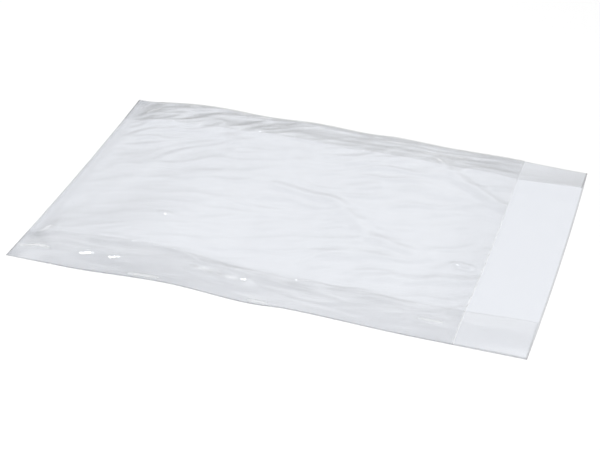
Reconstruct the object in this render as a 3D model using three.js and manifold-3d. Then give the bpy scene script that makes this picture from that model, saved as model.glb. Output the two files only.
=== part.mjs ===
import * as THREE from 'three';
import { LoftGeometry } from 'three/addons/geometries/LoftGeometry.js';
import { mergeGeometries, mergeVertices } from 'three/addons/utils/BufferGeometryUtils.js';
import Module from 'manifold-3d';

// A flat bag of clear film with side gussets, lying empty on its back panel.
// Millimetres: X runs from the welded end to the lip, Y from the near side to the far side, Z up.

const { clamp, lerp, smoothstep } = THREE.MathUtils;

// Cut and folds of the film
const WIDTH = 200;
const BODY_LENGTH = 274; // from the cut end to the mouth, where the front panel ends
const LIP_LENGTH = 41; // back panel and gussets beyond the mouth
const GUSSET_DEPTH = 27; // from a side crease to the inner fold of its gusset
const FILM = 0.04;
const CREASE_GAP = 0.3; // how far apart a sprung crease holds the two layers that it joins
const CUT_BOW = 1.4; // how far the middle of each cut lies ahead of its ends

// Weld across the closed end
const SKIRT_LENGTH = 1; // film between the cut end and the weld
const WELD_LENGTH = 1.5;
const WELD_MARGIN = 3; // film that lies flat between the weld and the rise of the layers
const WELD_GAP = 0.02; // left between the layers where they run into the weld
const WELD_COVER = 0.12; // melted film over the top layer
const WELD_OVERHANG = 0.2; // bead beyond the side creases

// How the stiff film springs up from the table
const RISE_LENGTH = 24; // from the cut end to where the layers stand fully apart, over the inner folds
const MIDDLE_RISE_LENGTH = 72; // the same in the middle of the front panel
const MIDDLE_SHARE = 0.5; // of the way from an inner fold to the middle line, where it is reached
const FRONT_CLEARANCE = 0.25; // front panel above the inner folds
const FRONT_SAG = 1.2; // middle of the front panel below its line over the inner folds
const CREST_START = 6; // from an inner fold to the crest beside it, on the side of its crease
const CREST_END = 4; // from an inner fold to where the fall from the crest ends, on the other side
const BACK_LIFT_REACH = 26; // how far a lifted side edge carries the back panel with it

// What differs between the two sides: heights of the side edge and of the gusset's inner fold and the
// fall from the crest beside it, each as [share of the length, height], then the lift of the front crease
// above the back crease, and how much the front panel rounds out on its way up to the inner fold
const NEAR = {
  edge: [[0, 0], [0.12, 0], [0.33, 3], [0.49, 0.3], [0.565, 1.7], [0.8, 0], [1, 0.1]],
  fold: [[0, 5], [0.27, 8.8], [0.52, 3.7], [0.72, 4.3], [0.82, 3.8], [1, 5.6]],
  crestFall: [[0, 2.1], [0.1, 2.1], [0.26, 1.15], [0.79, 1.15], [0.87, 0]],
  creaseLift: 0.4,
  shoulder: 0.35,
};
const FAR = {
  edge: [
    [0, 0.6], [0.19, 4.2], [0.31, 3.2], [0.41, 4.5], [0.535, 3.1], [0.59, 3.8],
    [0.73, 2.4], [0.8, 2.4], [1, 0.6],
  ],
  fold: [[0, 3.2], [0.4, 7.4], [0.52, 6.4], [0.62, 7.4], [0.73, 6.2], [0.81, 6.6], [0.87, 4.8], [1, 6.2]],
  crestFall: [[0, 0.25], [0.79, 0.25], [0.87, 0]],
  creaseLift: 0.6,
  shoulder: 0,
};

// Soft creases of the front panel through points that are shares of the body's length
// and of the width from the near side
const FRONT_CREASES = [
  { points: [[0.47, 0.58], [0.62, 0.56], [0.73, 0.415], [0.83, 0.37]], height: 0.9, reach: 10 },
  { points: [[0.8, 0.875], [0.91, 0.75], [1, 0.68]], height: 1.2, reach: 10 },
  { points: [[0.76, 0.21], [0.86, 0.2425], [1, 0.29]], height: 0.8, reach: 10 },
  { points: [[0.03, 0.93], [0.34, 0.78]], height: 0.6, reach: 11 },
  { points: [[0.03, 0.06], [0.25, 0.055], [0.43, 0.075], [0.54, 0.0725]], height: 0.9, reach: 7 },
];

// Facet sizes
const FRONT_STEP = 8;
const FRONT_BAND_STEP = 5.4; // over the gussets
const BAND_STEP = 9; // within the gussets and under them
const BACK_STEP = 24;
const LENGTH_STEP = 9;
const RISE_STEPS = 5;
const CREASE_STEPS = 2;
const BEAD_STEPS = 25;

const LENGTH = BODY_LENGTH + LIP_LENGTH;
const CREASE_RADIUS = CREASE_GAP / 2;
const CREASE = (WIDTH - FILM) / 2 - CREASE_RADIUS; // where a side crease starts, across from the middle
const FOLD = WIDTH / 2 - GUSSET_DEPTH + CREASE_RADIUS; // where an inner fold starts
const LAYERS = 4;
const WELD_END = SKIRT_LENGTH + WELD_LENGTH;
const RISE_START = WELD_END + WELD_MARGIN;
const WELD_PITCH = FILM + WELD_GAP;
const WELD_STACK = (LAYERS - 1) * WELD_PITCH; // from the middle of the lowest layer to that of the highest
const WELD_HEIGHT = FILM + WELD_STACK + WELD_COVER;

const wasm = await Module();
wasm.setup();

// A smooth hump, 1 at its middle and 0 from one reach away
function hump(offset) {
  return 1 - smoothstep(Math.abs(offset), 0, 1);
}

// Height along a side, going smoothly from each place of its profile to the next
function heightAlong(x, profile) {
  return profile.slice(1).reduce((height, [end, high], index) => {
    const [start, low] = profile[index];
    return height + (high - low) * smoothstep(x / LENGTH, start, end);
  }, profile[0][1]);
}

function distanceFromLine(point, points) {
  const corners = points.map(([along, across]) => new THREE.Vector3(along * BODY_LENGTH, across * WIDTH, 0));
  const nearest = new THREE.Vector3();
  const distances = corners.slice(1).map((corner, index) => {
    new THREE.Line3(corners[index], corner).closestPointToPoint(point, true, nearest);
    return nearest.distanceTo(point);
  });
  return Math.min(...distances);
}

function frontRelief(x, y) {
  const point = new THREE.Vector3(x, y + WIDTH / 2, 0);
  const reliefs = FRONT_CREASES.map(({ points, height, reach }) => {
    return height * hump(distanceFromLine(point, points) / reach);
  });
  return Math.max(...reliefs);
}

// Lifts of the film over one point of the table, layer by layer:
// back panel, lower half and upper half of the gusset, front panel
function layerLifts(x, y) {
  const side = y < 0 ? NEAR : FAR;
  const inset = WIDTH / 2 - Math.abs(y);
  const across = clamp(inset / GUSSET_DEPTH, 0, 1);
  const spring = smoothstep(x, RISE_START, RISE_LENGTH);
  const gap = lerp(WELD_PITCH, CREASE_GAP, spring);
  const clearance = lerp(WELD_PITCH, FRONT_CLEARANCE, spring);

  const backCrease = heightAlong(x, side.edge) * spring;
  const frontCrease = backCrease + WELD_STACK + side.creaseLift * spring;
  const fold = WELD_STACK / 2 + heightAlong(x, side.fold) * spring;
  const back = backCrease * hump(inset / BACK_LIFT_REACH);
  const fromNear = smoothstep(y, -FOLD, FOLD);
  const behindCrest = smoothstep(FOLD - Math.abs(y), -CREST_START, CREST_END);
  const fullFall = lerp(heightAlong(x, NEAR.crestFall), heightAlong(x, FAR.crestFall), fromNear);
  const crestFall = fullFall * behindCrest;
  const lower = lerp(backCrease + gap, fold - gap / 2, across) - crestFall * spring;
  const upper = lerp(frontCrease - gap, fold + gap / 2, across) - crestFall * spring;

  const middle = (inset - GUSSET_DEPTH) / (WIDTH / 2 - GUSSET_DEPTH);
  const rise = clamp((x - RISE_START) / (MIDDLE_RISE_LENGTH - RISE_START), 0, 1);
  const frontSpring = lerp(spring, rise * (2 - rise), smoothstep(middle, 0, MIDDLE_SHARE));
  const foldToFold = lerp(heightAlong(x, NEAR.fold), heightAlong(x, FAR.fold), fromNear);
  const overFolds = WELD_STACK / 2 + foldToFold * frontSpring + gap / 2 + clearance;
  const shoulder = lerp(across, Math.sin((across * Math.PI) / 2), side.shoulder);
  const fall = crestFall + FRONT_SAG * smoothstep(middle, 0, 1);
  const front = lerp(frontCrease, overFolds, shoulder) + (frontRelief(x, y) - fall) * frontSpring;
  return [back, lower, upper, front];
}

// The folded section is drawn with the width across and the number of the layer upwards
function straight(from, to, layer, step) {
  const line = new THREE.LineCurve(new THREE.Vector2(from, layer), new THREE.Vector2(to, layer));
  return line.getPoints(Math.ceil(Math.abs(to - from) / step)).slice(0, -1);
}

// A half turn between neighbouring layers, bulging along +Y or -Y
function turn(y, from, to, bulge) {
  const quarter = Math.sign(to - from) * (Math.PI / 2);
  const clockwise = to > from !== bulge > 0;
  const middle = (from + to) / 2;
  const rise = Math.abs(to - from) / 2;
  const arc = new THREE.EllipseCurve(y, middle, CREASE_RADIUS, rise, -quarter, quarter, clockwise);
  return arc.getPoints(CREASE_STEPS).slice(0, -1);
}

// Back panel between its two gussets, from one cut edge of the lip to the other
function lipSection() {
  return [
    ...straight(-CREASE, -FOLD, 2, BAND_STEP),
    ...turn(-FOLD, 2, 1, 1),
    ...straight(-FOLD, -CREASE, 1, BAND_STEP),
    ...turn(-CREASE, 1, 0, -1),
    ...straight(-CREASE, -FOLD, 0, BAND_STEP),
    ...straight(-FOLD, FOLD, 0, BACK_STEP),
    ...straight(FOLD, CREASE, 0, BAND_STEP),
    ...turn(CREASE, 0, 1, 1),
    ...straight(CREASE, FOLD, 1, BAND_STEP),
    ...turn(FOLD, 1, 2, -1),
    ...straight(FOLD, CREASE, 2, BAND_STEP),
  ];
}

// Front panel with its two creases, which closes the lip's section to the bag's
function frontSection() {
  return [
    ...turn(CREASE, 2, 3, 1),
    ...straight(CREASE, FOLD, 3, FRONT_BAND_STEP),
    ...straight(FOLD, -FOLD, 3, FRONT_STEP),
    ...straight(-FOLD, -CREASE, 3, FRONT_BAND_STEP),
    ...turn(-CREASE, 3, 2, -1),
  ];
}

function spaced(from, to, count) {
  return Array.from({ length: count }, (_, index) => lerp(from, to, (index + 1) / count));
}

function liftedSection(x, section) {
  return section.map(({ x: y, y: layer }) => {
    const lifts = layerLifts(x, y);
    const below = Math.min(Math.floor(layer), LAYERS - 2);
    const lift = lerp(lifts[below], lifts[below + 1], layer - below);
    return new THREE.Vector3(x, y, FILM / 2 + lift);
  });
}

function positionsOnly(geometry) {
  geometry.deleteAttribute('normal');
  geometry.deleteAttribute('uv');
  return mergeVertices(geometry);
}

// The middle of the film as one surface: a closed loft along the body and an open one along the lip
function filmSurface() {
  const front = frontSection();
  const lip = [...lipSection(), front[0]];
  const ring = [...lip, ...front.slice(1)];
  const bodyStations = [
    0,
    ...spaced(WELD_END, RISE_START, 2),
    ...spaced(RISE_START, RISE_LENGTH, RISE_STEPS),
    ...spaced(RISE_LENGTH, BODY_LENGTH, Math.ceil((BODY_LENGTH - RISE_LENGTH) / LENGTH_STEP)),
  ];
  const lipStations = [BODY_LENGTH, ...spaced(BODY_LENGTH, LENGTH, Math.ceil(LIP_LENGTH / LENGTH_STEP))];
  const bodyLoft = new LoftGeometry(bodyStations.map((x) => liftedSection(x, ring)));
  const lipLoft = new LoftGeometry(lipStations.map((x) => liftedSection(x, lip)), { closed: false });
  return positionsOnly(mergeGeometries([bodyLoft, lipLoft]));
}

// A closed wall around an open surface, half of its thickness on each side
function thicken(surface, thickness) {
  surface.computeVertexNormals();
  const { position, normal } = surface.attributes;
  const count = position.count;
  const points = [];
  const point = new THREE.Vector3();
  const offset = new THREE.Vector3();
  for (const half of [thickness / 2, -thickness / 2]) {
    for (let i = 0; i < count; i += 1) {
      offset.fromBufferAttribute(normal, i).multiplyScalar(half);
      points.push(...point.fromBufferAttribute(position, i).add(offset).toArray());
    }
  }
  const triangles = [];
  const rim = new Map();
  for (let i = 0; i < surface.index.count; i += 3) {
    const [a, b, c] = surface.index.array.slice(i, i + 3);
    triangles.push(a, b, c, a + count, c + count, b + count);
    for (const [start, end] of [[a, b], [b, c], [c, a]]) {
      const met = rim.delete(`${end} ${start}`);
      if (!met) rim.set(`${start} ${end}`, [start, end]);
    }
  }
  for (const [start, end] of rim.values()) {
    triangles.push(end, start, start + count, end, start + count, end + count);
  }
  const wall = new THREE.BufferGeometry();
  wall.setAttribute('position', new THREE.Float32BufferAttribute(points, 3));
  wall.setIndex(triangles);
  return wall;
}

// The melted bead that joins all layers across the closed end.
// Its underside stays within the back panel's film.
function weldBead() {
  const round = WELD_COVER / 2;
  const outline = new THREE.Shape();
  outline.moveTo(SKIRT_LENGTH, FILM / 2);
  outline.lineTo(WELD_END, FILM / 2);
  outline.absarc(WELD_END - round, WELD_HEIGHT - round, round, 0, Math.PI / 2);
  outline.absarc(SKIRT_LENGTH + round, WELD_HEIGHT - round, round, Math.PI / 2, Math.PI);
  outline.closePath();
  const depth = WIDTH + 2 * WELD_OVERHANG;
  const options = { depth, steps: BEAD_STEPS, curveSegments: CREASE_STEPS, bevelEnabled: false };
  const bead = new THREE.ExtrudeGeometry(outline, options);
  bead.rotateX(Math.PI / 2);
  bead.translate(0, depth / 2, 0);
  return positionsOnly(bead);
}

// The same geometry with each of its crossways lines bowed towards the lip
function bowed(geometry) {
  const { position } = geometry.attributes;
  for (let i = 0; i < position.count; i += 1) {
    const fromMiddle = position.getY(i) / (WIDTH / 2);
    position.setX(i, position.getX(i) + CUT_BOW * (1 - fromMiddle ** 2));
  }
  return geometry;
}

function toSolid(geometry) {
  const vertProperties = Float32Array.from(geometry.attributes.position.array);
  const triVerts = Uint32Array.from(geometry.index.array);
  return new wasm.Manifold(new wasm.Mesh({ numProp: 3, vertProperties, triVerts }));
}

function toGeometry(solid) {
  const { vertProperties, triVerts } = solid.getMesh();
  const geometry = new THREE.BufferGeometry();
  geometry.setAttribute('position', new THREE.BufferAttribute(vertProperties, 3));
  geometry.setIndex(new THREE.BufferAttribute(triVerts, 1));
  geometry.computeVertexNormals();
  return geometry;
}

const film = toSolid(thicken(bowed(filmSurface()), FILM)).add(toSolid(bowed(weldBead())));

const clearFilm = new THREE.MeshStandardMaterial({
  color: 0xe3e9ee,
  roughness: 0.1,
  metalness: 0,
  transparent: true,
  opacity: 0.3,
  side: THREE.DoubleSide,
});

const bagFilm = new THREE.Mesh(toGeometry(film), clearFilm);
bagFilm.name = 'bag_film';
bagFilm.position.x = -(LENGTH + CUT_BOW) / 2;

const bag = new THREE.Group();
bag.name = 'flat_cellophane_bag';
bag.add(bagFilm);

export default bag;
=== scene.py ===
"""Flat side-gusseted bag of clear film, lying empty on a pale table."""

import math
from typing import NamedTuple

import bmesh
import bpy
import numpy as np
from bpy.props import FloatProperty, FloatVectorProperty, IntProperty, PointerProperty
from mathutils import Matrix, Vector, noise


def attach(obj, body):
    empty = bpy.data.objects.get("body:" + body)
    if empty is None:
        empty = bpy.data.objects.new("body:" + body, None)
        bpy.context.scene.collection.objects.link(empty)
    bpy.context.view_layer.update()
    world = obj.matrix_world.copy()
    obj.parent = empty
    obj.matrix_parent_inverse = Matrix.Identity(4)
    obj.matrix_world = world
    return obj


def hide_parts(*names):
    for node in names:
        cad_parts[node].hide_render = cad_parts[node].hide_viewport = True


bl_info = {
    "name": "Clear film bag",
    "version": (1, 0, 0),
    "blender": (4, 5, 0),
    "location": "View3D > Sidebar > Film bag",
    "description": "Folds, welds and lights a flat side-gusseted bag of clear film",
    "category": "Object",
}

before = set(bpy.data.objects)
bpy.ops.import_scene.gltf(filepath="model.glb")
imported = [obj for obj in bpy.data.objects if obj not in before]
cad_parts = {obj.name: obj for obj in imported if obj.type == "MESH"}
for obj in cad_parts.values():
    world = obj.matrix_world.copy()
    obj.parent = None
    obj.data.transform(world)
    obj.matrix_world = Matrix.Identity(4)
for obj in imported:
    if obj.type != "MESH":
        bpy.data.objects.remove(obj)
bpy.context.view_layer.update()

MM = 0.001
NODE = "bag_film"
BODY = "root"

# Layers of the folded section, from the back panel on the table up to the front panel
BACK, LOWER, UPPER, FRONT = range(4)

# Sides of the bag, by the sign of Y
NEAR, FAR = -1, 1


class Waves(NamedTuple):
    """Chance waves with long features: sizes in millimetres, and their turn from +X in degrees"""

    across: float
    along: float
    turn: float
    seed: int
    height: float = 0


# Pairs are the start and the end of a smooth change, in millimetres unless their comment says otherwise

# Steps of the mesh, in facets: under the gussets, in the back panel and over the near gusset
UNDER_GUSSET_STEP = 2
BACK_STEP = 8
NEAR_FRONT_STEP = 0.7
TURN_STEPS = 4  # of a crease or an inner fold
SHARP = math.radians(60)

# Heights along each side as (share of the length, height): the side edge, and the inner fold
EDGE_HEIGHTS = {
    NEAR: ((0.0, 0.0), (0.12, 0.0), (0.33, 3.0), (0.49, 0.3), (0.565, 1.7), (0.8, 0.0), (1.0, 0.1)),
    FAR: ((0.0, 0.6), (0.19, 4.2), (0.31, 3.2), (0.41, 4.5), (0.535, 3.1), (0.59, 3.8),
          (0.73, 2.4), (0.8, 2.4), (1.0, 0.6)),
}
FOLD_HEIGHTS = {
    NEAR: ((0.0, 4.2), (0.27, 8.8), (0.52, 3.7), (0.72, 4.3), (0.82, 3.8), (1.0, 5.6)),
    FAR: ((0.0, 3.2), (0.4, 7.4), (0.52, 6.4), (0.62, 7.4), (0.73, 6.2), (0.81, 6.6),
          (0.87, 4.8), (1.0, 6.2)),
}

# Lift of the front crease above the back crease
CREASE_LIFT = {NEAR: 0.4 * MM, FAR: 0.6 * MM}

# Rise of the layers from the weld
WELD_PITCH = 0.06 * MM  # from layer to layer in the weld
RISE_START = 5.5 * MM
NEAR_RISE_START = 0.6  # of that, on the near side
NEAR_RISES = (1.2, 0.7)  # rise lengths on the near side: at the crease, and at the inner fold
CRINKLE_RISE = 0.6  # rise lengths to where creases and crinkles are at their full height
MIDDLE_RISE = 3  # rise lengths to where the middle of the front panel is at its full height
MIDDLE_START = (0, 0.5)  # shares of the way from an inner fold to the middle line
SAG_START = (0, 1)  # shares of the same way
BACK_LIFT_REACH = 26 * MM
SHOULDER = 0.35  # how round the front panel is over the near gusset
RELIEF_START = (0, 13)  # from the side crease

# Bend of the gussets' layers, which come free at the mouth
FREED = (-25, 0)  # from the mouth
FAR_LOWER_BEND = 1.7
FAR_UPPER_BEND = 1.15
NEAR_UPPER_BEND = 2.4

# Creases of the front panel: points as shares of the body's length and of the width from the
# near side, then height and reach in millimetres
FRONT_CREASES = (
    (((0.47, 0.58), (0.62, 0.56), (0.73, 0.415), (0.83, 0.37)), 1.1, 7),
    (((0.8, 0.875), (0.855, 0.81), (0.91, 0.75), (1.0, 0.68)), 1.5, 7.5),
    (((0.76, 0.21), (0.86, 0.2425), (1.0, 0.29)), 0.9, 7),
    (((0.67, 0.28), (0.805, 0.3375), (0.88, 0.37)), 0.4, 8),
    (((0.03, 0.93), (0.34, 0.78)), 0.6, 9),
    (((0.03, 0.06), (0.117, 0.066), (0.25, 0.066), (0.34, 0.086), (0.44, 0.095), (0.54, 0.083)), 0.5, 6),
    (((0.35, 0.07), (0.47, 0.0975), (0.62, 0.1)), 0.4, 6),
)

# Sharp short puckers of the front panel: both ends as places from the cut end and the near side,
# then height and reach, all in millimetres
PUCKERS = (
    ((12, 12.6), (22, 14.2), 0.5, 3),
    ((41.5, 11.7), (55, 14.7), 0.46, 2.1),
    ((61, 11.7), (70.5, 13.8), 0.43, 2.0),
    ((145, 17.5), (149.5, 17.2), 1.0, 3),
    ((75, 60.5), (79, 60.3), 1.9, 3),
    ((257, 70.6), (267, 69.4), 1.82, 3),
)
STILL_REACH = 6 * MM  # how far from a pucker the other waves are stilled

# Crinkles that all layers over a gusset share
FAR_PLEATS = Waves(across=6, along=60, turn=3, seed=0, height=0.34)
FAR_GATHERS = Waves(across=8, along=30, turn=24, seed=0, height=1.1)
NEAR_PLEATS = Waves(across=5.5, along=34, turn=2, seed=5, height=0.48)
GATHERS_END = (0.3, 0.65)  # shares of the body
CRINKLE_START = (0, 5)  # from the side crease
CRINKLE_END = (0.85, 1.5)  # gusset depths from the side crease
CRINKLE_ON_LIP = 0.4  # share that is left on the lip
LIP_CALMING = (-20, 10)  # from the mouth
NEAR_OUTER_CRINKLE = 0.6  # share that is left beside the near crease
NEAR_INNER = (0.35, 0.75)  # gusset depths from the side crease

# Crest of the front panel over each inner fold, and its fall behind the crest
CREST_STRAY = Waves(across=60, along=22, turn=0, seed=9, height=3)
CREST_PATCHES = Waves(across=60, along=18, turn=0, seed=8)
CREST_PATCH_FADE = (-0.5, 0.5)  # levels of noise
NEAR_FALLS = (0.6 * MM, 1.7 * MM)  # least and most
FAR_FALLS = (0.1 * MM, 0.4 * MM)
FALL_BY_WELD = 0.15  # share of the near fall that is left beside the weld
FALL_GROWTH = (0.3, 0.5)  # shares of the body
FALL_CHANGE = (-0.7, 0.7)  # from near to far, as shares of the way from the middle to an inner fold
FALL_ACROSS = (-6, 4)  # from the crest

# Ripples of the front panel
BROAD_WAVES = Waves(across=38, along=60, turn=16, seed=1, height=0.8)
STROKES = Waves(across=11, along=30, turn=21, seed=2, height=1.12)
STROKE_GROUPS = Waves(across=40, along=50, turn=0, seed=4)
STROKE_GROUP_FADE = (-0.35, 0.35)  # levels of noise
LONE_STROKE = 0.45  # share of a stroke's height that is left between the groups
WELD_FAN = Waves(across=10, along=32, turn=32, seed=6, height=0.55)
FAN_END = (0.2, 0.45)  # shares of the body
FAN_START = (-20, 60)  # from the middle line
FINE_CRINKLES = Waves(across=4.5, along=15, turn=22, seed=3, height=0.15)
STROKES_BY_WELD = 0.7  # share of the strokes that is left beside the weld
STROKES_NEAR = 0.5  # share of them that is left on the near side, towards the weld
NEAR_CALM_ACROSS = (-45, 25)  # from the middle line
NEAR_CALM_ALONG = (0.5, 0.75)  # shares of the body
RIPPLE_DROP = 0.4 * MM
RIDGE_POWER = 4
SEED_PITCH = 3.7

# Shade of the front panel beside the weld, from 0 to 1
WELD_SHADE = 0.3
WELD_SHADE_END = (4, 11)  # from the cut end
CORNER_SHADE = 0.5
CORNER_SHADE_END = (3, 11)  # from the side crease
KNOT_SHADE = 0.4  # where the near inner fold meets the weld
KNOT_OFFSET = 1 * MM
KNOT_REACH = 7 * MM
KNOT_END = (6, 12)  # from the cut end

# Shade towards the mouth: over the near gusset, in the middle and over the far gusset
MOUTH_SHADES = (0.12, 0.3, 0.5)
MOUTH_SHADE_START = (-40, 0)  # from the mouth
MOUTH_NEAR_STEP = (-5, 10)  # from the near inner fold
MOUTH_FAR_STEP = (-10, 5)  # from the far inner fold

# Shade over the gussets; each pair of shades is beside the weld and towards the mouth
NEAR_BAND_EDGE = (-2, 2)  # from the near inner fold
NEAR_BAND_START = (4, 14)  # from the cut end
SHADE_STREAKS = Waves(across=3.2, along=24, turn=2, seed=12)
STREAK_FADE = (-0.2, 0.5)  # levels of noise
STREAK_SHADES = (0.2, 0.14)
STREAK_CHANGE = (0.3, 0.6)  # shares of the body
GATHERED_SHADE = 0.1
GATHERED_ACROSS = (-13, -6)  # from the near inner fold
GATHERED_START = (0.25, 0.45)  # shares of the body
CREST_SHADES = (0.2, 0.3)
CREST_SHADE_PATCHES = Waves(across=60, along=14, turn=0, seed=13)
CREST_SHADE_FADE = (-0.3, 0.3)  # levels of noise
CREST_SHADE_LEAST = 0.3  # share that is left between the patches
CREST_SHADE_OFFSET = 4 * MM
CREST_SHADE_REACH = 6 * MM
WELD_CREST_SHADE = 0.12
WELD_CREST_END = (30, 50)  # from the cut end
FAR_SHADE = 0.1
FAR_SHADE_EDGE = (0, 6)  # from the far inner fold
FAR_SHADE_END = (0.5, 0.8)  # shares of the body

# Strength of the painted shade lines along the film's outer creases, inner folds and cut edges, from 0 to
# 1
NEAR_CREASE_LINE = 1.0
FAR_CREASE_LINE = 0.3
CREASE_LINE_START = 0.2  # crease radii out from the start of the crease
FOLD_LINE = 0.05
CUT_LINE = 0.15
LIP_BACK_LINE = 1.0
LIP_GUSSET_LINE = 0.1
BODY_SIDE_LINE = 0.04  # beside the near crease
LIP_SIDE_LINE = 0.15

# Whiteness, from 0 to 1: painted highlights at the mouth, from the near to the far inner fold, and along
# lines of the front panel, with their points in millimetres as for the puckers; and a faint white in the
# weld
MOUTH_HIGHLIGHTS = (0.7, 0.3)
WELD_WHITE = 0.12
HIGHLIGHT_STREAKS = (
    (((3, 12.4), (9, 13.8), (22, 11.8)), 0.75),
    (((80, 2.0), (97, 2.4)), 0.7),
    (((112, 16.3), (140, 15.3)), 0.3),
    (((154, 2.2), (164, 2.0)), 0.7),
    (((251, 13.4), (264, 14.3)), 0.6),
)
HIGHLIGHT_REACH = 1.8 * MM

# Weld
WELD_ROUNDING = 0.4  # of its height
WELD_ROUND_STEPS = 3
WELD_CUTS = 39

# Finish of the film: share that it mirrors, roughness, and the fine lines that drawing leaves along it
MIRROR_LEAST = 0.043
MIRROR_GAIN = 0.92
MIRROR_POWER = 4.4
EDGE_DIMMING_GAIN = 6  # how fast the mirror image darkens with the painted shade along the edges
ROUGHNESS_LEAST = 0.03
ROUGHNESS_GAIN = 0.06
DRAWN_SCALE = (60, 240, 240)
DRAWN_DETAIL = 3
DRAWN_STRENGTH = 0.5
DRAWN_DEPTH = 0.05 * MM
WHITE = (1, 1, 1)

# Table and room
TABLE_DROP = 0.05 * MM
TABLE_COLOURS = ((0.9, 0.9, 0.9), (0.92, 0.92, 0.92))
TABLE_ROUGHNESS = 0.9
TABLE_GRAIN = 400
CLEAR_BOUNCES = 64

# Brightness of the room by the angle above the horizon, in degrees
SKY = ((0, 0.45), (15, 0.50), (22, 0.58), (28, 0.69), (34, 0.83), (40, 0.91), (46, 0.78), (52, 0.58),
       (58, 0.50), (64, 0.52), (70, 0.66), (76, 0.98), (90, 1.7))
HORIZON, ZENITH = 0, 90
RIGHTWARD = 0.7  # gain of that brightness from straight ahead of the camera to its right


class BagSizes(bpy.types.PropertyGroup):
    """Cut, folds and spring of the film"""

    length: FloatProperty(
        name="Length", description="Cut length of the film, with the lip",
        default=315 * MM, unit="LENGTH")
    width: FloatProperty(
        name="Width", description="From side crease to side crease",
        default=200 * MM, unit="LENGTH")
    lip: FloatProperty(
        name="Lip", description="Back panel and gussets beyond the mouth",
        default=41 * MM, unit="LENGTH")
    gusset: FloatProperty(
        name="Gusset depth", description="From a side crease to the inner fold",
        default=27 * MM, unit="LENGTH")
    bow: FloatProperty(
        name="Bow", description="How far the middle of each cut lies ahead of its ends",
        default=1.4 * MM, unit="LENGTH", precision=5)
    film: FloatProperty(
        name="Film", description="Thickness of the film",
        default=0.04 * MM, unit="LENGTH", precision=5)
    crease_gap: FloatProperty(
        name="Crease gap", description="How far apart a sprung crease holds its two layers",
        default=0.3 * MM, unit="LENGTH", precision=5)
    rise: FloatProperty(
        name="Rise length", description="From the cut end to where the layers stand fully apart",
        default=24 * MM, unit="LENGTH")
    front_clearance: FloatProperty(
        name="Front clearance", description="Front panel above the inner folds",
        default=0.25 * MM, unit="LENGTH", precision=5)
    front_sag: FloatProperty(
        name="Front sag", description="Middle of the front panel below its line over the folds",
        default=1.2 * MM, unit="LENGTH", precision=5)
    facet: FloatProperty(
        name="Facet", description="Width of a face of the film's mesh, across the bag",
        default=1.15 * MM, unit="LENGTH", precision=5)
    facet_length: FloatProperty(
        name="Facet length", description="Length of a face of the film's mesh, along the bag",
        default=2.4 * MM, unit="LENGTH", precision=5)
    # The first and last steps along the bag set the width of the painted shade lines at the cut end and
    # the lip's end, and of the painted highlight along the mouth
    edge: FloatProperty(
        name="Edge", description="Width of the thin line that a cut edge shows",
        default=1.3 * MM, unit="LENGTH", precision=5)
    seed: IntProperty(
        name="Seed", description="Which of the chance crinkles the film has", default=7)


class WeldSizes(bpy.types.PropertyGroup):
    """Weld across the closed end"""

    inset: FloatProperty(
        name="Inset", description="Skirt of film beyond the weld",
        default=1.0 * MM, unit="LENGTH", precision=5)
    length: FloatProperty(
        name="Length", description="Weld along the bag",
        default=1.5 * MM, unit="LENGTH", precision=5)
    height: FloatProperty(
        name="Height", description="Weld above the table",
        default=0.34 * MM, unit="LENGTH", precision=5)
    overhang: FloatProperty(
        name="Overhang", description="Weld beyond each side crease",
        default=0.2 * MM, unit="LENGTH", precision=5)


class FilmLook(bpy.types.PropertyGroup):
    """Finish of the film"""

    tint: FloatVectorProperty(
        name="Tint", description="Colour of light that passes one face of the film",
        default=(0.994, 0.994, 0.994), size=3, subtype="COLOR", min=0, max=1)
    # Painted shadow: the back panel passes less light, tinted blue-grey, where it lies on the table, for
    # the shadow the bag does not cast
    rest_shadow_tint: FloatVectorProperty(
        name="Rest tint", description="Colour of light where the film lies on the table",
        default=(0.894, 0.906, 0.931), size=3, subtype="COLOR", min=0, max=1)
    shade_tint: FloatVectorProperty(
        name="Shade tint", description="Colour of light that passes the shaded parts of the front panel",
        default=(0.9, 0.902, 0.908), size=3, subtype="COLOR", min=0, max=1)
    # Painted shade: light through cut edges, creases and folds is darkened, and so is their mirror image
    edge_shade_tint: FloatVectorProperty(
        name="Edge tint", description="Colour of light that passes a cut or creased edge",
        default=(0.81, 0.81, 0.82), size=3, subtype="COLOR", min=0, max=1)
    gloss: FloatVectorProperty(
        name="Gloss", description="Colour of the mirror image in the film",
        default=(0.98, 0.99, 1.0), size=3, subtype="COLOR", min=0, max=1)
    edge_shade_gloss: FloatVectorProperty(
        name="Edge gloss", description="Colour of the mirror image along an edge",
        default=(0.2, 0.2, 0.2), size=3, subtype="COLOR", min=0, max=1)
    # Painted highlight: how far the film turns from clear to white where highlights are painted, and
    # faintly in the weld
    haze_and_highlight: FloatProperty(
        name="Haze", description="How far stretched film turns from clear to white",
        default=0.45, subtype="FACTOR", min=0, max=1)


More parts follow.
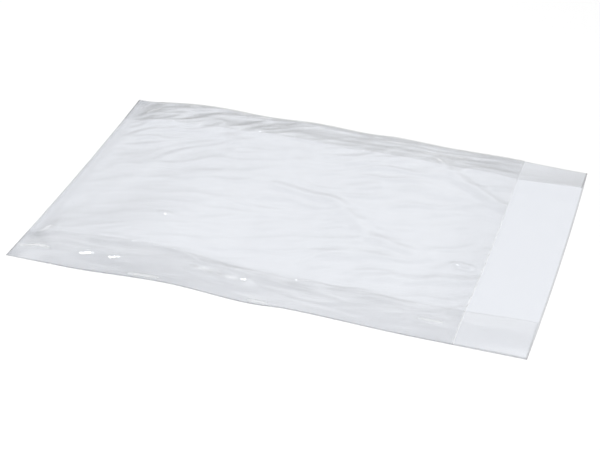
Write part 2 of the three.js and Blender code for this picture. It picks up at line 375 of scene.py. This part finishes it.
class StudioSizes(bpy.types.PropertyGroup):
    """Table, light and camera"""

    table: FloatProperty(
        name="Table", description="Side of the pale table", default=8.0, unit="LENGTH")
    softbox: FloatProperty(
        name="Softbox", description="Side of the softbox behind the camera", default=2.5, unit="LENGTH")
    softbox_place: FloatVectorProperty(
        name="Softbox place", description="Middle of the softbox, which looks at the bag",
        default=(1.0, -3.1, 3.8), size=3, subtype="XYZ", unit="LENGTH")
    softbox_power: FloatProperty(
        name="Softbox power", description="Power of the softbox", default=74.0, unit="POWER")
    toplight: FloatProperty(
        name="Top light", description="Side of the small light overhead", default=0.45, unit="LENGTH")
    toplight_place: FloatVectorProperty(
        name="Top light place", description="Middle of the top light, which looks at the bag",
        default=(-0.85, -0.42, 2.0), size=3, subtype="XYZ", unit="LENGTH")
    toplight_power: FloatProperty(
        name="Top light power", description="Power of the top light", default=13.0, unit="POWER")
    azimuth: FloatProperty(
        name="Azimuth", description="Camera's turn about the bag, from looking along +Y",
        default=math.radians(18.331), unit="ROTATION")
    elevation: FloatProperty(
        name="Elevation", description="Camera's height as an angle above the table",
        default=math.radians(33.926), unit="ROTATION")
    distance: FloatProperty(
        name="Distance", description="From the camera to the point it looks at",
        default=923.0 * MM, unit="LENGTH")
    target: FloatVectorProperty(
        name="Target", description="Point of the table at the middle of the picture",
        default=(-1.5 * MM, -14.0 * MM, 0.0), size=3, subtype="XYZ", unit="LENGTH")
    lens: FloatProperty(
        name="Lens", description="Focal length on a 36 mm wide frame", default=89.96)


def mix(a, b, share):
    return a + (b - a) * share


def smooth(value, low, high):
    """A smooth ramp from 0 at low to 1 at high."""
    share = np.clip((value - low) / (high - low), 0, 1)
    return share * share * (3 - 2 * share)


def ramp(value, change, unit=MM):
    """A smooth ramp from 0 to 1 over a change whose start and end are counted in a unit."""
    start, end = change
    return smooth(value, start * unit, end * unit)


def hump(offset):
    """A smooth hump, 1 at its middle and 0 from one reach away."""
    return 1 - smooth(np.abs(offset), 0, 1)


def smooth_profile(share, profile):
    """Height along the bag, going smoothly from each (share, millimetres) to the next."""
    height = np.full_like(share, profile[0][1])
    for (start, low), (end, high) in zip(profile, profile[1:]):
        height += (high - low) * smooth(share, start, end)
    return height * MM


def line_distance(x, y, points):
    """Distance of each place from the line through the points."""
    nearest = np.full_like(x, np.inf)
    for start, end in zip(points, points[1:]):
        along = np.subtract(end, start)
        share = ((x - start[0]) * along[0] + (y - start[1]) * along[1]) / (along @ along)
        share = np.clip(share, 0, 1)
        distance = np.hypot(x - start[0] - share * along[0], y - start[1] - share * along[1])
        nearest = np.minimum(nearest, distance)
    return nearest


def start_of_cut(bag, y):
    """Place along X of the bowed cut end, with the origin under the middle of the bag."""
    return bag.bow * (1 - (2 * y / bag.width) ** 2) - (bag.length + bag.bow) / 2


class FoldedFilm:
    """Places of the film, station by station along the bag and column by column round its section."""

    def __init__(self, bag):
        self.bag = bag
        self.body = bag.length - bag.lip
        self.radius = bag.crease_gap / 2
        self.crease = (bag.width - bag.film) / 2 - self.radius
        self.fold = bag.width / 2 - bag.gusset + self.radius
        lip = self.lip_columns()
        self.lip_count = len(lip)
        self.columns = lip + self.front_columns()
        self.stations = self.length_stations()
        self.mouth_station = self.stations.index(self.body)
        across, self.layer = np.array(self.columns).T
        self.x, self.y = np.meshgrid(self.stations, across, indexing="ij")
        self.inset = bag.width / 2 - np.abs(self.y)

    def straight(self, start, end, layer, step):
        """Columns of a flat stretch of one layer, without its last."""
        count = math.ceil(abs(end - start) / step)
        return [(mix(start, end, i / count), float(layer)) for i in range(count)]

    def turn(self, y, start, end, bulge):
        """A half turn from one layer to the next, bulging along +Y or -Y, without its last column."""
        middle, rise = (start + end) / 2, (end - start) / 2
        angles = [math.pi * i / TURN_STEPS for i in range(TURN_STEPS)]
        return [(y + bulge * self.radius * math.sin(a), middle - rise * math.cos(a)) for a in angles]

    def lip_columns(self):
        """Near gusset, back panel and far gusset, as (place across the bag, layer)."""
        crease, fold, facet = self.crease, self.fold, self.bag.facet
        return (
            self.straight(-crease, -fold, UPPER, facet)
            + self.turn(-fold, UPPER, LOWER, FAR)
            + self.straight(-fold, -crease, LOWER, facet)
            + self.turn(-crease, LOWER, BACK, NEAR)
            + self.straight(-crease, -fold, BACK, UNDER_GUSSET_STEP * facet)
            + self.straight(-fold, fold, BACK, BACK_STEP * facet)
            + self.straight(fold, crease, BACK, UNDER_GUSSET_STEP * facet)
            + self.turn(crease, BACK, LOWER, FAR)
            + self.straight(crease, fold, LOWER, facet)
            + self.turn(fold, LOWER, UPPER, NEAR)
            + self.straight(fold, crease, UPPER, facet)
            + [(crease, float(UPPER))]
        )

    def front_columns(self):
        """Front panel with its two creases, as (place across the bag, layer)."""
        crease, fold, facet = self.crease, self.fold, self.bag.facet
        return (
            self.turn(crease, UPPER, FRONT, FAR)[1:]
            + self.straight(crease, fold, FRONT, facet)
            + self.straight(fold, -fold, FRONT, facet)
            + self.straight(-fold, -crease, FRONT, NEAR_FRONT_STEP * facet)
            + self.turn(-crease, FRONT, UPPER, NEAR)
        )

    def length_stations(self):
        """Places along the bag, with close ones at the cut end, the mouth and the end of the lip."""
        body, end, edge = self.body, self.bag.length, self.bag.edge
        marks = [0, edge, body - edge, body, end - edge, end]
        stations = []
        for start, stop in zip(marks, marks[1:]):
            count = math.ceil((stop - start) / self.bag.facet_length)
            stations += [mix(start, stop, i / count) for i in range(count)]
        stations.append(end)
        return stations

    def chance(self, waves):
        """Noise with long features over each place of the table, from -1 to 1."""
        turn = math.radians(waves.turn)
        c, s = math.cos(turn), math.sin(turn)
        u = ((self.x * c + self.y * s) / (waves.along * MM)).ravel()
        v = ((self.y * c - self.x * s) / (waves.across * MM)).ravel()
        depth = (self.bag.seed + waves.seed) * SEED_PITCH
        values = [noise.noise(Vector((a, b, depth))) for a, b in zip(u, v)]
        return np.array(values).reshape(self.x.shape)

    def patches(self, waves, fade):
        """Chance patches, from 0 to 1, whose rims fade between two levels of noise."""
        return smooth(self.chance(waves), *fade)

    def ridges(self, waves):
        """Thin ridges between flatter fields, as stiff film crinkles."""
        return (1 - np.abs(self.chance(waves))) ** RIDGE_POWER * waves.height * MM

    def distance(self, points):
        """Distance of each place from a line, given in millimetres from the cut end and the near side."""
        points = [(a * MM, b * MM - self.bag.width / 2) for a, b in points]
        return line_distance(self.x, self.y, points)

    def front_relief(self):
        """Creases of the front panel."""
        relief = np.zeros_like(self.x)
        for points, height, reach in FRONT_CREASES:
            points = [(a * self.body, (b - 0.5) * self.bag.width) for a, b in points]
            distance = line_distance(self.x, self.y, points)
            relief = np.maximum(relief, height * MM * hump(distance / (reach * MM)))
        return relief

    def puckers(self):
        """Puckers of the front panel, and how still the film lies around them, from 0 to 1."""
        relief, still = np.zeros_like(self.x), np.zeros_like(self.x)
        for start, end, height, reach in PUCKERS:
            distance = self.distance((start, end))
            relief += height * MM * hump(distance / (reach * MM))
            still = np.maximum(still, hump(distance / STILL_REACH))
        return relief, still

    def crinkle(self):
        """Small crinkles that all layers over a gusset share."""
        gusset = self.bag.gusset
        band = (1 - ramp(self.inset, CRINKLE_END, gusset)) * ramp(self.inset, CRINKLE_START)
        calm = mix(1.0, CRINKLE_ON_LIP, ramp(self.x - self.body, LIP_CALMING))
        by_weld = 1 - ramp(self.x, GATHERS_END, self.body)
        far = mix(self.ridges(FAR_PLEATS), self.ridges(FAR_GATHERS), by_weld)
        inner = mix(NEAR_OUTER_CRINKLE, 1.0, ramp(self.inset, NEAR_INNER, gusset))
        near = self.ridges(NEAR_PLEATS) * inner
        return band * calm * np.where(self.y > 0, far, near)

    def crest(self):
        """Place across the bag of the crest over an inner fold, which strays from the fold."""
        return self.fold + CREST_STRAY.height * MM * self.chance(CREST_STRAY)

    def crest_fall(self):
        """How far the front panel falls behind the uneven crest that it has over each inner fold."""
        uneven = self.patches(CREST_PATCHES, CREST_PATCH_FADE)
        growth = mix(FALL_BY_WELD, 1.0, ramp(self.x, FALL_GROWTH, self.body))
        near = mix(*NEAR_FALLS, uneven) * growth
        far = mix(*FAR_FALLS, uneven)
        height = mix(near, far, ramp(self.y, FALL_CHANGE, self.fold))
        return height * ramp(self.crest() - np.abs(self.y), FALL_ACROSS)

    def ripple(self):
        """Broad and fine unevenness of the front panel, gathered towards the weld."""
        by_weld = 1 - ramp(self.x, FAN_END, self.body)
        near_calm = (1 - ramp(self.y, NEAR_CALM_ACROSS)) * (1 - ramp(self.x, NEAR_CALM_ALONG, self.body))
        calm = mix(1.0, STROKES_BY_WELD, by_weld) * mix(1.0, STROKES_NEAR, near_calm)
        grouped = mix(LONE_STROKE, 1.0, self.patches(STROKE_GROUPS, STROKE_GROUP_FADE))
        broad = BROAD_WAVES.height * MM * self.chance(BROAD_WAVES)
        strokes = self.ridges(STROKES) * grouped * calm
        fan = self.ridges(WELD_FAN) * by_weld * ramp(self.y, FAN_START)
        return broad + strokes + fan + self.ridges(FINE_CRINKLES) - RIPPLE_DROP

    def layer_lifts(self):
        """Lifts of the four layers over each place of the table."""
        bag, x, inset = self.bag, self.x, self.inset
        share = x / bag.length
        near = self.y < 0
        across = np.clip(inset / bag.gusset, 0, 1)
        farther = smooth(self.y, -self.fold, self.fold)
        rise = mix(mix(*NEAR_RISES, across ** 2), 1.0, farther) * bag.rise
        spring = smooth(x, mix(NEAR_RISE_START, 1.0, farther) * RISE_START, rise)
        crinkled = smooth(x, RISE_START, CRINKLE_RISE * bag.rise)
        gap = mix(WELD_PITCH, bag.crease_gap, spring)
        clearance = mix(WELD_PITCH, bag.front_clearance, spring)
        stack = FRONT * WELD_PITCH

        near_fold, far_fold = (smooth_profile(share, FOLD_HEIGHTS[side]) for side in (NEAR, FAR))
        near_edge, far_edge = (smooth_profile(share, EDGE_HEIGHTS[side]) for side in (NEAR, FAR))
        fold = stack / 2 + np.where(near, near_fold, far_fold) * spring
        back_crease = np.where(near, near_edge, far_edge) * spring
        front_crease = back_crease + stack + np.where(near, CREASE_LIFT[NEAR], CREASE_LIFT[FAR]) * spring

        puckers, still = self.puckers()
        crinkle = self.crinkle() * crinkled * (1 - still)
        back = back_crease * hump(inset / BACK_LIFT_REACH)
        freed = ramp(x - self.body, FREED)
        lower_bend = np.where(near, across, across ** FAR_LOWER_BEND)
        upper_bend = np.where(near, 1 - (1 - across) ** NEAR_UPPER_BEND, across ** FAR_UPPER_BEND)
        fall = self.crest_fall() * crinkled * (1 - freed)
        lower = mix(back_crease + gap, fold - gap / 2, mix(across, lower_bend, freed)) + crinkle - fall
        upper = mix(front_crease - gap, fold + gap / 2, mix(across, upper_bend, freed)) + crinkle - fall

        middle = (inset - bag.gusset) / (bag.width / 2 - bag.gusset)
        eased = np.clip((x - RISE_START / 2) / (MIDDLE_RISE * bag.rise), 0, 1)
        slow = mix(spring, eased * (2 - eased), smooth(middle, *MIDDLE_START))
        over_folds = mix(near_fold, far_fold, farther) * slow + stack / 2 + gap / 2 + clearance
        shoulder = mix(across, np.sin(across * math.pi / 2), SHOULDER * near)
        sag = bag.front_sag * smooth(middle, *SAG_START) * slow
        relief = self.front_relief() + puckers + self.ripple() * (1 - still)
        relief *= crinkled * ramp(inset, RELIEF_START)
        front = mix(front_crease, over_folds, shoulder) - sag - fall + relief + crinkle

        lower = np.maximum(lower, back + WELD_PITCH)
        upper = np.maximum(upper, lower + WELD_PITCH)
        under_front = np.where(inset < bag.gusset + bag.facet, upper, back)
        front = np.maximum(front, under_front + WELD_PITCH)
        return np.stack([back, lower, upper, front])

    def places(self):
        """Places by station and column, with the origin under the middle of the bag."""
        lifts = self.layer_lifts()
        below = np.minimum(np.floor(self.layer).astype(int), UPPER)
        column = np.arange(len(self.columns))
        low, high = lifts[below, :, column].T, lifts[below + 1, :, column].T
        z = self.bag.film / 2 + mix(low, high, self.layer - below)
        return np.stack([self.x + start_of_cut(self.bag, self.y), self.y, z], -1)

    def rest_shadow_mask(self):
        """1 on the columns of the back panel, which lies on the table: where the painted shadow of the
        bag goes.
        """
        return np.ones_like(self.x) - np.minimum(self.layer, LOWER)

    def weld_shade(self):
        """Shade beside the weld, deeper in the corners and where the near inner fold meets it."""
        end = 1 - ramp(self.x, WELD_SHADE_END)
        corner = CORNER_SHADE * (1 - ramp(self.inset, CORNER_SHADE_END))
        knot = KNOT_SHADE * hump((self.y + self.fold + KNOT_OFFSET) / KNOT_REACH)
        return (WELD_SHADE + corner) * end + knot * (1 - ramp(self.x, KNOT_END))

    def mouth_shade(self):
        """Shade towards the mouth, which deepens from the near gusset to the far one."""
        near, middle, far = MOUTH_SHADES
        shade = mix(near, middle, ramp(self.y + self.fold, MOUTH_NEAR_STEP))
        shade = mix(shade, far, ramp(self.y - self.fold, MOUTH_FAR_STEP))
        return shade * ramp(self.x - self.body, MOUTH_SHADE_START)

    def near_shade(self):
        """Shade over the near gusset: streaks along it, and patches behind the crest."""
        band = (1 - ramp(self.y + self.fold, NEAR_BAND_EDGE)) * ramp(self.x, NEAR_BAND_START)
        streaks = self.patches(SHADE_STREAKS, STREAK_FADE)
        streaks *= mix(*STREAK_SHADES, ramp(self.x, STREAK_CHANGE, self.body))
        onward = ramp(self.x, GATHERED_START, self.body)
        gathered = GATHERED_SHADE * ramp(self.y + self.fold, GATHERED_ACROSS) * onward
        patches = mix(CREST_SHADE_LEAST, 1.0, self.patches(CREST_SHADE_PATCHES, CREST_SHADE_FADE))
        by_crest = mix(*CREST_SHADES, onward) * patches
        by_crest += WELD_CREST_SHADE * (1 - ramp(self.x, WELD_CREST_END))
        by_crest *= hump((self.y + self.crest() + CREST_SHADE_OFFSET) / CREST_SHADE_REACH)
        return band * (streaks + gathered + by_crest)

    def far_shade(self):
        """Faint shade over the far gusset, which ends before the mouth."""
        band = ramp(self.y - self.fold, FAR_SHADE_EDGE) * (1 - ramp(self.x, FAR_SHADE_END, self.body))
        return FAR_SHADE * band

    def shade_mask(self):
        """Painted shade: grey of the front panel beside the weld, towards the mouth and over the gussets.
        """
        shade = self.weld_shade() + self.mouth_shade() + self.near_shade() + self.far_shade()
        return shade * (self.layer > UPPER)

    def edge_shade_mask(self):
        """Strength of the painted shade line on cut edges, outer creases and inner folds."""
        x, y, layer = self.x, self.y, self.layer
        at_crease = np.abs(y) > self.crease + CREASE_LINE_START * self.radius
        at_fold = (np.abs(y) < self.fold) & (layer > LOWER) & (layer < UPPER)
        beside = (y <= -self.crease) * np.where(x > self.body, LIP_SIDE_LINE, BODY_SIDE_LINE)
        crease = at_crease * np.where(y < 0, NEAR_CREASE_LINE, FAR_CREASE_LINE)
        lip_end = (x == self.bag.length) * np.where(layer < LOWER, LIP_BACK_LINE, LIP_GUSSET_LINE)
        return np.maximum.reduce([beside + crease + at_fold * FOLD_LINE, lip_end, (x == 0) * CUT_LINE])

    def painted_highlight_mask(self):
        """Painted highlights on the front panel: white along its cut edge at the mouth, and along lines
        of the panel.
        """
        haze_and_highlight = (self.x == self.body) * mix(*MOUTH_HIGHLIGHTS, smooth(self.y, -self.fold, self.fold))
        for points, white in HIGHLIGHT_STREAKS:
            haze_and_highlight = np.maximum(haze_and_highlight, white * hump(self.distance(points) / HIGHLIGHT_REACH))
        return haze_and_highlight * (self.layer > UPPER)


def new_object(name, bm):
    """Object of the finished mesh, at the origin."""
    mesh = bpy.data.meshes.new(name)
    bm.to_mesh(mesh)
    bm.free()
    piece = bpy.data.objects.new(name, mesh)
    bpy.context.scene.collection.objects.link(piece)
    return piece


def join_frame(piece, look):
    """Give a piece of the bag its film and its place in the shared frame."""
    piece.data.materials.append(clear_film(look))
    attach(piece, BODY)
    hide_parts(NODE)


class FILMBAG_OT_fold_film(bpy.types.Operator):
    """Sweep the folded section along the bag, cut the front back to the mouth, let the film spring up"""

    bl_idname = "filmbag.fold_film"
    bl_label = "Fold film"

    def execute(self, context):
        bag = context.scene.bag_sizes
        folded = FoldedFilm(bag)
        bm = bmesh.new()
        column_of = bm.verts.layers.int.new("column")
        self.sweep_section(bm, folded, column_of)
        self.cut_mouth(bm, folded, column_of)
        self.spring_up(bm, folded, column_of)
        bm.verts.layers.int.remove(column_of)
        bmesh.ops.recalc_face_normals(bm, faces=bm.faces)
        bmesh.ops.solidify(bm, geom=bm.faces[:], thickness=bag.film)
        for face in bm.faces:
            face.smooth = True
        for edge in bm.edges:
            edge.smooth = edge.calc_face_angle(0) < SHARP
        piece = new_object("bag_film_clear", bm)
        join_frame(piece, context.scene.film_look)
        return {"FINISHED"}

    def sweep_section(self, bm, folded, column_of):
        """Sweep the closed section along X, one unit for each station."""
        ring = []
        for index, (y, layer) in enumerate(folded.columns):
            vert = bm.verts.new((0, y, layer * folded.bag.crease_gap))
            vert[column_of] = index
            ring.append(vert)
        edges = [bm.edges.new(pair) for pair in zip(ring, ring[1:] + ring[:1])]
        bmesh.ops.spin(
            bm, geom=ring + edges, cent=(0, 0, 0), axis=(1, 0, 0), dvec=(1, 0, 0), angle=0,
            steps=len(folded.stations) - 1, use_merge=False, use_duplicate=False)

    def cut_mouth(self, bm, folded, column_of):
        """Cut the front panel away beyond the mouth."""
        beyond = [
            face for face in bm.faces
            if min(round(vert.co.x) for vert in face.verts) >= folded.mouth_station
            and any(vert[column_of] >= folded.lip_count for vert in face.verts)]
        bmesh.ops.delete(bm, geom=beyond, context="FACES")

    def spring_up(self, bm, folded, column_of):
        """Move the film to its places, and mark where its painted shadow, painted shade and painted
        highlights go.
        """
        places = folded.places()
        masks = {
            # painted shadow of the bag on the table, over the back panel
            "rest_shadow": folded.rest_shadow_mask(),
            # painted shade of the front panel
            "shade": folded.shade_mask(),
            # painted shade lines along creases, folds and cut edges
            "edge_shade_line": folded.edge_shade_mask(),
            # painted highlights on the front panel, and a faint white in the weld
            "haze_and_highlight": folded.painted_highlight_mask(),
        }
        for name in masks:
            bm.verts.layers.float.new(name)
        marks = [(bm.verts.layers.float[name], mask) for name, mask in masks.items()]
        for vert in bm.verts:
            place = round(vert.co.x), vert[column_of]
            vert.co = places[place]
            for layer, mask in marks:
                vert[layer] = mask[place]


class FILMBAG_OT_weld_end(bpy.types.Operator):
    """Press the weld across the closed end"""

    bl_idname = "filmbag.weld_end"
    bl_label = "Weld end"

    def execute(self, context):
        bag, weld = context.scene.bag_sizes, context.scene.weld_sizes
        bm = bmesh.new()
        bmesh.ops.create_cube(bm, size=1)
        width = bag.width + 2 * weld.overhang
        bmesh.ops.scale(bm, verts=bm.verts, vec=(weld.length, width, weld.height))
        bmesh.ops.translate(bm, verts=bm.verts, vec=(weld.inset + weld.length / 2, 0, weld.height / 2))
        upper = [edge for edge in bm.edges if all(vert.co.z > weld.height / 2 for vert in edge.verts)]
        bmesh.ops.bevel(
            bm, geom=upper, offset=WELD_ROUNDING * weld.height, affect="EDGES", segments=WELD_ROUND_STEPS,
            profile=0.5, material=-1)
        across = [edge for edge in bm.edges if abs(edge.verts[0].co.y - edge.verts[1].co.y) > weld.length]
        bmesh.ops.subdivide_edges(bm, edges=across, cuts=WELD_CUTS, use_grid_fill=True)
        bmesh.ops.recalc_face_normals(bm, faces=bm.faces)
        haze_and_highlight = bm.verts.layers.float.new("haze_and_highlight")
        for vert in bm.verts:
            vert.co.x += start_of_cut(bag, vert.co.y)
            vert[haze_and_highlight] = WELD_WHITE
        piece = new_object("bag_weld", bm)
        join_frame(piece, context.scene.film_look)
        return {"FINISHED"}


class NodeBench:
    """Makes the nodes of one node tree and links them"""

    def __init__(self, tree):
        self.nodes, self.links = tree.nodes, tree.links

    def new(self, kind):
        return self.nodes.new(kind)

    def feed(self, value, socket):
        """Link a socket to a node's input, or set the input to a number or colour."""
        if isinstance(value, bpy.types.NodeSocket):
            self.links.new(value, socket)
        else:
            socket.default_value = value

    def calculate(self, operation, *values):
        """Output of a Math node whose inputs are sockets or numbers."""
        node = self.new("ShaderNodeMath")
        node.operation = operation
        for value, socket in zip(values, node.inputs):
            self.feed(value, socket)
        return node.outputs[0]

    def colour_mix(self, share, first, second):
        """Colour socket that goes from the first colour to the second; the first may be a socket."""
        node = self.new("ShaderNodeMix")
        node.data_type = "RGBA"
        self.feed(share, node.inputs["Factor"])
        first_input, second_input = [i for i in node.inputs if i.type == "RGBA"]
        self.feed(first if isinstance(first, bpy.types.NodeSocket) else (*first, 1), first_input)
        self.feed((*second, 1), second_input)
        return next(o for o in node.outputs if o.type == "RGBA")

    def mask(self, name):
        """Value of one of the film's own masks."""
        attribute = self.new("ShaderNodeAttribute")
        attribute.attribute_name = name
        return attribute.outputs["Fac"]


def drawn_lines(bench):
    """Fine lines along the film, as a value and as a bumped normal."""
    stretch = bench.new("ShaderNodeMapping")
    bench.feed(bench.new("ShaderNodeTexCoord").outputs["Object"], stretch.inputs["Vector"])
    bench.feed(DRAWN_SCALE, stretch.inputs["Scale"])
    lines = bench.new("ShaderNodeTexNoise")
    bench.feed(stretch.outputs["Vector"], lines.inputs["Vector"])
    bench.feed(DRAWN_DETAIL, lines.inputs["Detail"])
    bump = bench.new("ShaderNodeBump")
    bench.feed(DRAWN_STRENGTH, bump.inputs["Strength"])
    bench.feed(DRAWN_DEPTH, bump.inputs["Distance"])
    bench.feed(lines.outputs["Fac"], bump.inputs["Height"])
    return lines.outputs["Fac"], bump.outputs["Normal"]


def clear_film(look):
    """Thin clear film: a faint mirror that grows towards grazing angles, over what lies behind it, with
    painted shadow, shade and highlights from its masks.
    """
    name = "clear film"
    if name in bpy.data.materials:
        return bpy.data.materials[name]
    material = bpy.data.materials.new(name)
    material.use_nodes = True
    material.node_tree.nodes.clear()
    bench = NodeBench(material.node_tree)
    lines, normal = drawn_lines(bench)
    edge_shade_line, haze_and_highlight = bench.mask("edge_shade_line"), bench.mask("haze_and_highlight")

    weight = bench.new("ShaderNodeLayerWeight")
    bench.feed(normal, weight.inputs["Normal"])
    grazing = bench.calculate("POWER", weight.outputs["Facing"], MIRROR_POWER)
    mirrored = bench.calculate("MULTIPLY_ADD", grazing, MIRROR_GAIN, MIRROR_LEAST)
    # Painted highlights: a white share is added over the mirror where they are marked
    highlighted = bench.calculate("MULTIPLY_ADD", haze_and_highlight, look.haze_and_highlight, mirrored)
    # The film casts no shadow: shadow and diffuse rays pass it white and clear, and the shadow is painted
    # on the back panel instead
    path = bench.new("ShaderNodeLightPath").outputs
    lighting = bench.calculate("MAXIMUM", path["Is Shadow Ray"], path["Is Diffuse Ray"])
    seen = bench.calculate("SUBTRACT", 1, lighting)

    clear = bench.new("ShaderNodeBsdfTransparent")
    # Painted shadow: the back panel darkens and turns blue-grey where it lies on the table
    rest_shadowed = bench.colour_mix(bench.mask("rest_shadow"), look.tint, look.rest_shadow_tint)
    # Painted shade of the front panel
    shaded = bench.colour_mix(bench.mask("shade"), rest_shadowed, look.shade_tint)
    # Painted shade along creases, folds and cut edges
    edge_shaded = bench.colour_mix(edge_shade_line, shaded, look.edge_shade_tint)
    bench.feed(bench.colour_mix(lighting, edge_shaded, WHITE), clear.inputs["Color"])

    mirror = bench.new("ShaderNodeBsdfPrincipled")
    # Painted shade: the mirror image darkens along those edges too
    edge_dimming = bench.calculate("MINIMUM", bench.calculate("MULTIPLY", edge_shade_line, EDGE_DIMMING_GAIN), 1)
    roughness = bench.calculate("MULTIPLY_ADD", lines, ROUGHNESS_GAIN, ROUGHNESS_LEAST)
    bench.feed(bench.colour_mix(edge_dimming, look.gloss, look.edge_shade_gloss), mirror.inputs["Base Color"])
    # where highlights are painted, the mirror turns to white
    bench.feed(bench.calculate("SUBTRACT", 1, haze_and_highlight), mirror.inputs["Metallic"])
    bench.feed(roughness, mirror.inputs["Roughness"])
    bench.feed(normal, mirror.inputs["Normal"])

    blend = bench.new("ShaderNodeMixShader")
    bench.feed(bench.calculate("MULTIPLY", highlighted, seen), blend.inputs["Fac"])
    bench.feed(clear.outputs["BSDF"], blend.inputs[1])
    bench.feed(mirror.outputs["BSDF"], blend.inputs[2])
    bench.feed(blend.outputs["Shader"], bench.new("ShaderNodeOutputMaterial").inputs["Surface"])
    return material


def pale_table():
    """White matt card with a faint grain."""
    material = bpy.data.materials.new("pale table")
    material.use_nodes = True
    bench = NodeBench(material.node_tree)
    shader = bench.nodes["Principled BSDF"]
    grain = bench.new("ShaderNodeTexNoise")
    bench.feed(bench.new("ShaderNodeTexCoord").outputs["Object"], grain.inputs["Vector"])
    bench.feed(TABLE_GRAIN, grain.inputs["Scale"])
    bench.feed(bench.colour_mix(grain.outputs["Fac"], *TABLE_COLOURS), shader.inputs["Base Color"])
    bench.feed(TABLE_ROUGHNESS, shader.inputs["Roughness"])
    bench.feed(0, shader.inputs["Specular IOR Level"])
    return material


def studio_world(azimuth):
    """A plain room whose brightness goes by the angle above the horizon, paler on the camera's right."""
    world = bpy.data.worlds.new("studio")
    world.use_nodes = True
    bench = NodeBench(world.node_tree)
    background = bench.nodes["Background"]
    direction = bench.new("ShaderNodeTexCoord").outputs["Generated"]
    split = bench.new("ShaderNodeSeparateXYZ")
    sky = bench.new("ShaderNodeValToRGB")
    stops = sky.color_ramp.elements
    for angle, level in SKY:
        if angle == HORIZON:
            stop = stops[0]
        elif angle == ZENITH:
            stop = stops[-1]
        else:
            stop = stops.new(math.sin(math.radians(angle)))
        stop.color = (level, level, level, 1)
    bench.feed(direction, split.inputs["Vector"])
    bench.feed(split.outputs["Z"], sky.inputs["Fac"])
    bench.feed(sky.outputs["Color"], background.inputs["Color"])
    rightward = bench.new("ShaderNodeVectorMath")
    rightward.operation = "DOT_PRODUCT"
    bench.feed(direction, rightward.inputs[0])
    bench.feed((math.cos(azimuth), math.sin(azimuth), 0), rightward.inputs[1])
    strength = bench.calculate("MULTIPLY_ADD", rightward.outputs["Value"], RIGHTWARD, 1)
    bench.feed(bench.calculate("MAXIMUM", strength, 0), background.inputs["Strength"])
    return world


class FILMBAG_OT_set_stage(bpy.types.Operator):
    """Set the pale table, the soft light and the camera"""

    bl_idname = "filmbag.set_stage"
    bl_label = "Set stage"

    def execute(self, context):
        scene, studio = context.scene, context.scene.studio_sizes
        self.lay_table(studio)
        self.hang_light(scene, "softbox", studio.softbox, studio.softbox_place, studio.softbox_power)
        self.hang_light(scene, "top light", studio.toplight, studio.toplight_place, studio.toplight_power)
        self.place_camera(scene, studio)
        scene.world = studio_world(studio.azimuth)
        scene.view_settings.view_transform = "Standard"
        scene.cycles.transparent_max_bounces = CLEAR_BOUNCES
        return {"FINISHED"}

    def lay_table(self, studio):
        """Lay the table a hair under the bag."""
        bm = bmesh.new()
        bmesh.ops.create_grid(bm, x_segments=1, y_segments=1, size=studio.table / 2)
        bmesh.ops.translate(bm, verts=bm.verts, vec=(0, 0, -TABLE_DROP))
        table = new_object("table", bm)
        table.data.materials.append(pale_table())

    def hang_light(self, scene, name, size, place, power):
        """Hang a square light that looks at the bag."""
        light = bpy.data.lights.new(name, "AREA")
        light.shape = "SQUARE"
        light.size = size
        light.energy = power
        lamp = bpy.data.objects.new(name, light)
        lamp.location = place
        lamp.rotation_euler = (-lamp.location).to_track_quat("-Z", "Y").to_euler()
        scene.collection.objects.link(lamp)

    def place_camera(self, scene, studio):
        """Place the camera on its turn, height and distance from the target."""
        lens = bpy.data.cameras.new("camera")
        lens.lens = studio.lens
        camera = bpy.data.objects.new("camera", lens)
        turn, rise = studio.azimuth, studio.elevation
        back = Vector((math.sin(turn) * math.cos(rise), -math.cos(turn) * math.cos(rise), math.sin(rise)))
        camera.location = Vector(studio.target) + back * studio.distance
        camera.rotation_euler = (-back).to_track_quat("-Z", "Y").to_euler()
        scene.collection.objects.link(camera)
        scene.camera = camera


class FILMBAG_PT_panel(bpy.types.Panel):
    """Sizes and steps of the bag"""

    bl_label = "Film bag"
    bl_idname = "FILMBAG_PT_panel"
    bl_space_type = "VIEW_3D"
    bl_region_type = "UI"
    bl_category = "Film bag"

    def draw(self, context):
        for name, cls in GROUPS.items():
            group = getattr(context.scene, name)
            box = self.layout.box()
            box.label(text=cls.__doc__)
            for prop in cls.__annotations__:
                box.prop(group, prop)
        for operator in STEPS:
            self.layout.operator(operator.bl_idname)


GROUPS = {
    "bag_sizes": BagSizes,
    "weld_sizes": WeldSizes,
    "film_look": FilmLook,
    "studio_sizes": StudioSizes,
}
STEPS = (FILMBAG_OT_set_stage, FILMBAG_OT_fold_film, FILMBAG_OT_weld_end)


def register():
    for cls in (*GROUPS.values(), *STEPS, FILMBAG_PT_panel):
        bpy.utils.register_class(cls)
    for name, group in GROUPS.items():
        setattr(bpy.types.Scene, name, PointerProperty(type=group))


def unregister():
    for name in GROUPS:
        delattr(bpy.types.Scene, name)
    for cls in (FILMBAG_PT_panel, *STEPS, *GROUPS.values()):
        bpy.utils.unregister_class(cls)


def main():
    register()
    bpy.ops.filmbag.set_stage()
    bpy.ops.filmbag.fold_film()
    bpy.ops.filmbag.weld_end()


if __name__ == "__main__":
    main()
